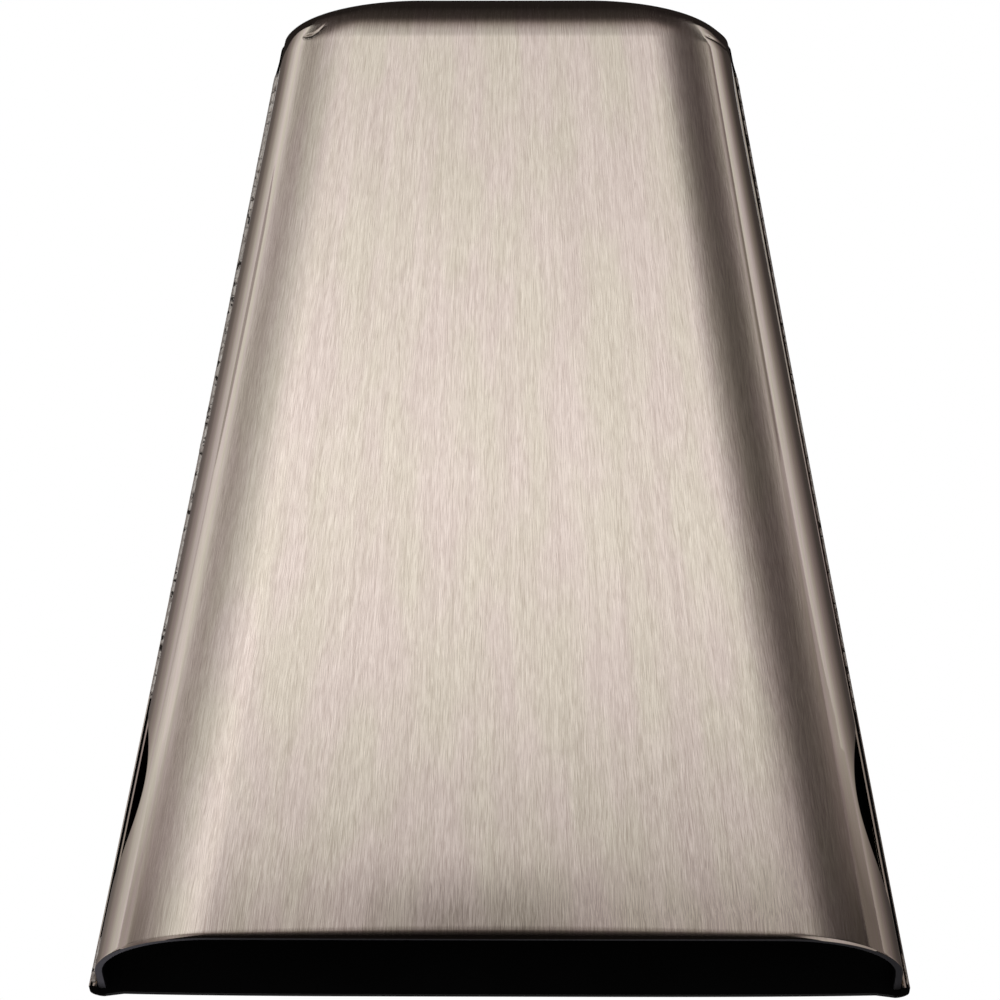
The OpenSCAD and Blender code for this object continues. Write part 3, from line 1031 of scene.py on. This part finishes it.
# Cards that lie on the floor: name, corners, and radiance along their first and second edges
FLOOR_PATCHES = [
    ("front", [(-0.8, -0.9), (0.8, -0.9), (-0.8, -0.101), (0.8, -0.101)], (0.02, 0.02)),
    ("back", [(-END_WIDTH / 2, 0.086), (END_WIDTH / 2, 0.086), (-2.0, 2.9), (1.65, 2.9)], (0.02, 0.02)),
    ("grey", [(0.15, -0.0075), (2.5, 1.458), (0.15, 0.0), (2.5, 2.0)], (0.44, 0.44)),
    ("right_fade", [(0.12, -0.0645), (2.5, 1.148), (0.12, -0.026), (2.5, 1.458)], (0.18, 0.44)),
    ("right_dim", [(0.12, -0.1), (2.5, -0.1), (0.12, -0.0645), (2.5, 1.148)], (0.18, 0.18)),
    ("left_fade", [(-0.15, -0.049), (-2.5, 1.148), (-0.15, -0.0075), (-2.5, 1.458)], (0.45, 0.85)),
    ("left_dim", [(-0.15, -0.1), (-2.5, -0.1), (-0.15, -0.049), (-2.5, 1.148)], (0.45, 0.45)),
    ("line", [(-0.101, -0.05), (-0.105, -0.05), (-0.126, 0.052), (-0.138, 0.052)], (0.55, 0.55)),
    ("wedge", [(-0.126, 0.052), (-0.138, 0.052), (-0.15, 0.14), (-0.34, 0.26)], (0.45, 0.45)),
]


def floor_material():
    """Matt white studio floor, which glows to the camera and in the metal and is clear from below."""
    material = bpy.data.materials.new("studio_floor")
    nodes = Nodes(material)
    matt = nodes.add("ShaderNodeBsdfDiffuse", {"Color": FLOOR_COLOUR}).outputs["BSDF"]
    path = nodes.add("ShaderNodeLightPath").outputs
    strength = nodes.ramp(path["Is Camera Ray"], 0.0, 1.0, FLOOR_SHINE, 1.0)
    glow = nodes.add("ShaderNodeEmission", {"Color": grey(1.0), "Strength": strength}).outputs["Emission"]
    seen = nodes.math("MAXIMUM", path["Is Camera Ray"], path["Is Glossy Ray"])
    lit = nodes.add("ShaderNodeMixShader", {0: seen, 1: matt, 2: glow}).outputs["Shader"]
    clear = nodes.add("ShaderNodeBsdfTransparent").outputs["BSDF"]
    below = nodes.add("ShaderNodeNewGeometry").outputs["Backfacing"]
    shader = nodes.add("ShaderNodeMixShader", {0: below, 1: lit, 2: clear})
    nodes.add("ShaderNodeOutputMaterial", {"Surface": shader.outputs["Shader"]})
    return material


def card_material():
    """Lit card whose radiance is stored on its mesh, warmer where it is dark."""
    material = bpy.data.materials.new("studio_card")
    material.cycles.emission_sampling = "NONE"
    nodes = Nodes(material)
    radiance = nodes.attribute("radiance")
    colour = nodes.mix(nodes.ramp(radiance, 0.0, CARD_BRIGHT, 0.0, 1.0), *CARD_COLOURS)
    shader = nodes.add("ShaderNodeEmission", {"Color": colour, "Strength": radiance})
    nodes.add("ShaderNodeOutputMaterial", {"Surface": shader.outputs["Emission"]})
    return material


def stage_object(name, points, faces, material):
    """A stage object of points and faces."""
    mesh = bpy.data.meshes.new(name)
    mesh.from_pydata(points, [], faces)
    mesh.materials.append(material)
    made = bpy.data.objects.new(name, mesh)
    bpy.context.scene.collection.objects.link(made)
    return made


def card(name, grid, radiance, material):
    """A studio card over a grid of points, which shows in reflections only."""
    rows, wide = grid.shape[:2]
    faces = []
    for row in range(rows - 1):
        for column in range(wide - 1):
            first = row * wide + column
            faces.append((first, first + 1, first + wide + 1, first + wide))
    made = stage_object(name, [tuple(p) for p in grid.reshape(-1, 3)], faces, material)
    set_point_values(made, "radiance", np.broadcast_to(radiance, (rows, wide)))
    made.visible_camera = False
    made.visible_diffuse = False
    made.visible_transmission = False
    made.visible_volume_scatter = False
    made.visible_shadow = False


def dome_card(name, azimuths, shares, stops, material):
    """A card bent round the studio dome."""
    stop_elevations, radiances = zip(*stops)
    elevations = np.arange(stop_elevations[0], stop_elevations[-1] + DOME_STEP / 2, DOME_STEP)[:, None]
    azimuth = np.radians(np.arange(azimuths[0], azimuths[1] + DOME_STEP, 2 * DOME_STEP))[None]
    level = DOME_R * np.cos(np.radians(elevations))
    height = DOME_R * np.sin(np.radians(elevations))
    grid = np.stack(np.broadcast_arrays(level * np.sin(azimuth), level * np.cos(azimuth), height), -1)
    share = np.linspace(*shares, azimuth.shape[1])[None]
    card(name, grid, share * np.interp(elevations, stop_elevations, radiances), material)


def floor_strip(name, side, stops, material):
    """A card on the floor along one side of the bell, with the bell's shadow painted on it."""
    distances, radiances = (np.array(values)[:, None] for values in zip(*stops))
    y = np.linspace(*STRIP_REACH, STRIP_STEPS)[None]
    rim_x = wall_x(np.clip(y, MOUTH_Y, LENGTH / 2)) + LAP
    grid = np.stack(np.broadcast_arrays(side * (rim_x + distances * MM), y, CARD_LIFT), -1)
    card(name, grid, radiances, material)


def studio():
    """Floor, world, lamp and cards."""
    half = FLOOR_SIDE / 2
    corners = [(x, y, -FLOOR_DROP) for x, y in ((-half, -half), (half, -half), (half, half), (-half, half))]
    stage_object("floor", corners, [(0, 1, 2, 3)], floor_material())

    world = bpy.data.worlds.new("studio_world")
    bpy.context.scene.world = world
    nodes = Nodes(world)
    path = nodes.add("ShaderNodeLightPath").outputs
    seen = nodes.math("MAXIMUM", path["Is Camera Ray"], path["Is Glossy Ray"])
    seen = nodes.math("MAXIMUM", seen, path["Is Transmission Ray"])
    strength = nodes.ramp(seen, 0.0, 1.0, WORLD_FILL, 1.0)
    background = nodes.add("ShaderNodeBackground", {"Color": grey(1.0), "Strength": strength})
    nodes.add("ShaderNodeOutputWorld", {"Surface": background.outputs["Background"]})

    lamp = bpy.data.lights.new("soft_lamp", "AREA")
    lamp.size = LAMP_SIDE
    lamp.energy = LAMP_POWER
    holder = bpy.data.objects.new("soft_lamp", lamp)
    holder.location = (0, 0, LAMP_HEIGHT)
    holder.visible_glossy = False
    bpy.context.scene.collection.objects.link(holder)

    material = card_material()
    for name, azimuths, shares, stops in DOME_SECTORS:
        dome_card("dome_" + name, azimuths, shares, stops, material)
    for name, side, stops in FLOOR_STRIPS:
        floor_strip("floor_" + name, side, stops, material)
    for name, corners, radiances in FLOOR_PATCHES:
        grid = np.array([(x, y, 2 * CARD_LIFT) for x, y in corners]).reshape(2, 2, 3)
        card("floor_patch_" + name, grid, np.array(radiances)[:, None], material)


# Camera set by the photograph's outline of the bell
CAMERA_DISTANCE = 1.0
CAMERA_TARGET = Vector((-0.39, -6.75, 12.0)) * MM
CAMERA_AZIMUTH = math.radians(2.287)
CAMERA_ELEVATION = math.radians(66.300)
CAMERA_ROLL = math.radians(-2.050)
CAMERA_LENS = 191.97
CAMERA_SENSOR = 36


def camera():
    """Camera at the photograph's viewing angle."""
    back = Vector((
        math.sin(CAMERA_AZIMUTH) * math.cos(CAMERA_ELEVATION),
        -math.cos(CAMERA_AZIMUTH) * math.cos(CAMERA_ELEVATION),
        math.sin(CAMERA_ELEVATION),
    ))
    right = Vector((math.cos(CAMERA_AZIMUTH), math.sin(CAMERA_AZIMUTH), 0))
    up = back.cross(right)
    level = Matrix((right, up, back)).transposed().to_4x4()
    data = bpy.data.cameras.new("camera")
    data.lens = CAMERA_LENS
    data.sensor_width = CAMERA_SENSOR
    made = bpy.data.objects.new("camera", data)
    place = CAMERA_TARGET + back * CAMERA_DISTANCE
    made.matrix_world = Matrix.Translation(place) @ level @ Matrix.Rotation(CAMERA_ROLL, 4, "Z")
    bpy.context.scene.collection.objects.link(made)
    bpy.context.scene.camera = made


studio()
camera()
bpy.context.scene.view_settings.view_transform = "Standard"
